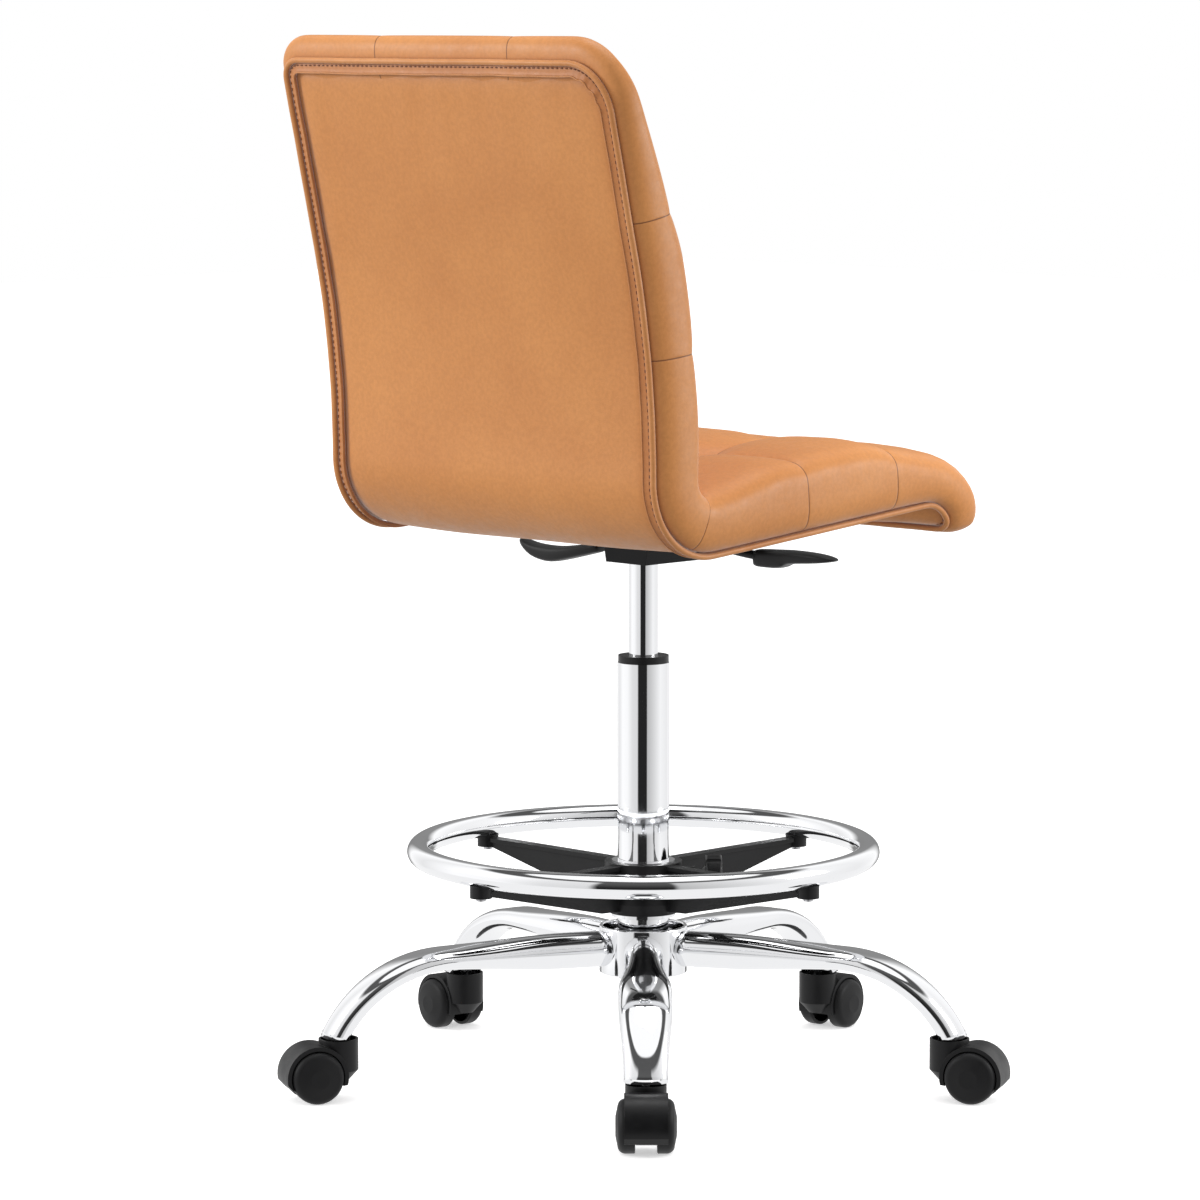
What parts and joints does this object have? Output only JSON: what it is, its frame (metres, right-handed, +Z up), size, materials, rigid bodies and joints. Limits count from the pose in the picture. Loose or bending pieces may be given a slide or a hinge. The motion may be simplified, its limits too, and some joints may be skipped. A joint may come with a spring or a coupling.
{
  "type": "adjustable swivel stool",
  "caption": "Armless drafting stool with a high upholstered back and seat, gas height adjustment, tilt, sliding foot ring and star base on twin-wheel casters.",
  "frame": {"origin": "on the floor under the axis of the gas lift", "axes": "+Z up along the gas lift, -Y is the way the sitter faces, +X is the sitter's left"},
  "size_m": [0.6904, 0.6904, 1.01],
  "materials": {
    "chrome": "polished chrome plate",
    "steel": "ground or plated steel, hidden inside",
    "black_metal": "satin black powder coat",
    "black_plastic": "fine textured black nylon",
    "wheel_plastic": "satin black nylon",
    "button_brass": "turned",
    "bump_rubber": "matt",
    "plywood": "bent plywood, hidden inside",
    "upholstery": "smooth tan leatherette over foam, satin",
    "leather": "smooth tan leatherette, satin"
  },
  "bodies": {
    "base": {"base_hub": "chrome", "hub_socket": "steel", "leg_1": "chrome", "leg_2": "chrome", "leg_3": "chrome", "leg_4": "chrome", "leg_5": "chrome", "caster_sockets": "black_plastic", "caster_stems": "steel", "column_tube": "chrome", "column_bush": "black_plastic", "thrust_bearing": "steel"},
    "piston": {"piston_rod": "steel", "piston_head": "steel", "bump_stop": "bump_rubber", "column_clip": "steel"},
    "lift": {"lift_cylinder": "chrome", "cylinder_gland": "black_plastic", "tilt_housing": "black_metal", "pivot_pin": "steel", "tilt_springs": "steel"},
    "button": {"release_button": "steel"},
    "lift_lever": {"lift_lever": "black_metal", "lift_handle": "black_plastic"},
    "lock_lever": {"lock_lever": "black_metal", "lock_handle": "black_plastic"},
    "seat": {"seat_plate": "black_metal", "seat_bolts": "steel", "seat_t_nuts": "steel", "seat_shell": "plywood", "cushion": "upholstery", "back_panel": "leather", "piping": "leather"},
    "sleeve": {"clamp_sleeve": "chrome"},
    "foot_ring": {"foot_ring": "chrome", "ring_spider": "black_plastic", "ring_screws": "steel"},
    "pad": {"pressure_pad": "button_brass"},
    "knob": {"knob_stud": "steel", "lock_knob": "black_plastic"},
    "caster_1": {"caster_hood_1": "black_plastic", "caster_axle_1": "steel"},
    "wheel_1a": {"wheel_1a": "wheel_plastic"},
    "wheel_1b": {"wheel_1b": "wheel_plastic"},
    "caster_2": {"caster_hood_2": "black_plastic", "caster_axle_2": "steel"},
    "wheel_2a": {"wheel_2a": "wheel_plastic"},
    "wheel_2b": {"wheel_2b": "wheel_plastic"},
    "caster_3": {"caster_hood_3": "black_plastic", "caster_axle_3": "steel"},
    "wheel_3a": {"wheel_3a": "wheel_plastic"},
    "wheel_3b": {"wheel_3b": "wheel_plastic"},
    "caster_4": {"caster_hood_4": "black_plastic", "caster_axle_4": "steel"},
    "wheel_4a": {"wheel_4a": "wheel_plastic"},
    "wheel_4b": {"wheel_4b": "wheel_plastic"},
    "caster_5": {"caster_hood_5": "black_plastic", "caster_axle_5": "steel"},
    "wheel_5a": {"wheel_5a": "wheel_plastic"},
    "wheel_5b": {"wheel_5b": "wheel_plastic"}
  },
  "joints": [
    {"name": "swivel", "type": "hinge", "parent": "base", "child": "piston", "pos_m": [0, 0, 0.1], "axis": [0, 0, 1], "continuous": true},
    {"name": "height", "type": "slide", "parent": "piston", "child": "lift", "axis": [0, 0, 1], "range_m": [-0.07, 0.13]},
    {"name": "button_push", "type": "slide", "parent": "lift", "child": "button", "axis": [0, 0, 1], "range_m": [-0.0018, 0]},
    {"name": "lift_lever", "type": "hinge", "parent": "lift", "child": "lift_lever", "pos_m": [-0.0283, -0.045, 0.521], "axis": [0, 1, 0], "range_deg": [0, 3.44], "stiffness_Nm_per_rad": 12, "springref_deg": -1.72},
    {"name": "lock_lever", "type": "hinge", "parent": "lift", "child": "lock_lever", "pos_m": [0.0283, -0.045, 0.521], "axis": [0, -1, 0], "range_deg": [0, 11]},
    {"name": "tilt", "type": "hinge", "parent": "lift", "child": "seat", "pos_m": [0, -0.06, 0.519], "axis": [-1, 0, 0], "range_deg": [0, 8]},
    {"name": "ring_height", "type": "slide", "parent": "base", "child": "sleeve", "axis": [0, 0, 1], "range_m": [-0.008, 0.15]},
    {"name": "ring_turn", "type": "hinge", "parent": "sleeve", "child": "foot_ring", "pos_m": [0, 0, 0.19], "axis": [0, 0, 1], "continuous": true},
    {"name": "knob_feed", "type": "slide", "parent": "foot_ring", "child": "pad", "axis": [-0.7071, -0.7071, 0], "range_m": [0, 0.0025]},
    {"name": "knob_turn", "type": "hinge", "parent": "pad", "child": "knob", "pos_m": [-0.04243, -0.04243, 0.196], "axis": [-0.7071, -0.7071, 0], "range_deg": [0, 720]},
    {"name": "caster_1_swivel", "type": "hinge", "parent": "base", "child": "caster_1", "pos_m": [-0.21638, 0.21638, 0.05], "axis": [0, 0, 1], "continuous": true},
    {"name": "wheel_1a_spin", "type": "hinge", "parent": "caster_1", "child": "wheel_1a", "pos_m": [-0.23405, 0.23405, 0.025], "axis": [-0.7071, -0.7071, 0], "continuous": true},
    {"name": "wheel_1b_spin", "type": "hinge", "parent": "caster_1", "child": "wheel_1b", "pos_m": [-0.23405, 0.23405, 0.025], "axis": [-0.7071, -0.7071, 0], "continuous": true},
    {"name": "caster_2_swivel", "type": "hinge", "parent": "base", "child": "caster_2", "pos_m": [-0.27265, -0.13892, 0.05], "axis": [0, 0, 1], "continuous": true},
    {"name": "wheel_2a_spin", "type": "hinge", "parent": "caster_2", "child": "wheel_2a", "pos_m": [-0.29492, -0.15027, 0.025], "axis": [0.454, -0.891, 0], "continuous": true},
    {"name": "wheel_2b_spin", "type": "hinge", "parent": "caster_2", "child": "wheel_2b", "pos_m": [-0.29492, -0.15027, 0.025], "axis": [0.454, -0.891, 0], "continuous": true},
    {"name": "caster_3_swivel", "type": "hinge", "parent": "base", "child": "caster_3", "pos_m": [0.04787, -0.30223, 0.05], "axis": [0, 0, 1], "continuous": true},
    {"name": "wheel_3a_spin", "type": "hinge", "parent": "caster_3", "child": "wheel_3a", "pos_m": [0.05178, -0.32693, 0.025], "axis": [0.9877, 0.1564, 0], "continuous": true},
    {"name": "wheel_3b_spin", "type": "hinge", "parent": "caster_3", "child": "wheel_3b", "pos_m": [0.05178, -0.32693, 0.025], "axis": [0.9877, 0.1564, 0], "continuous": true},
    {"name": "caster_4_swivel", "type": "hinge", "parent": "base", "child": "caster_4", "pos_m": [0.30223, -0.04787, 0.05], "axis": [0, 0, 1], "continuous": true},
    {"name": "wheel_4a_spin", "type": "hinge", "parent": "caster_4", "child": "wheel_4a", "pos_m": [0.32693, -0.05178, 0.025], "axis": [0.1564, 0.9877, 0], "continuous": true},
    {"name": "wheel_4b_spin", "type": "hinge", "parent": "caster_4", "child": "wheel_4b", "pos_m": [0.32693, -0.05178, 0.025], "axis": [0.1564, 0.9877, 0], "continuous": true},
    {"name": "caster_5_swivel", "type": "hinge", "parent": "base", "child": "caster_5", "pos_m": [0.13892, 0.27265, 0.05], "axis": [0, 0, 1], "continuous": true},
    {"name": "wheel_5a_spin", "type": "hinge", "parent": "caster_5", "child": "wheel_5a", "pos_m": [0.15027, 0.29492, 0.025], "axis": [-0.891, 0.454, 0], "continuous": true},
    {"name": "wheel_5b_spin", "type": "hinge", "parent": "caster_5", "child": "wheel_5b", "pos_m": [0.15027, 0.29492, 0.025], "axis": [-0.891, 0.454, 0], "continuous": true}
  ],
  "couplings": [
    {"joint": "button_push", "follows": "lift_lever", "m_per_rad": -0.0283},
    {"joint": "knob_feed", "follows": "knob_turn", "m_per_rad": 0.00019894}
  ]
}
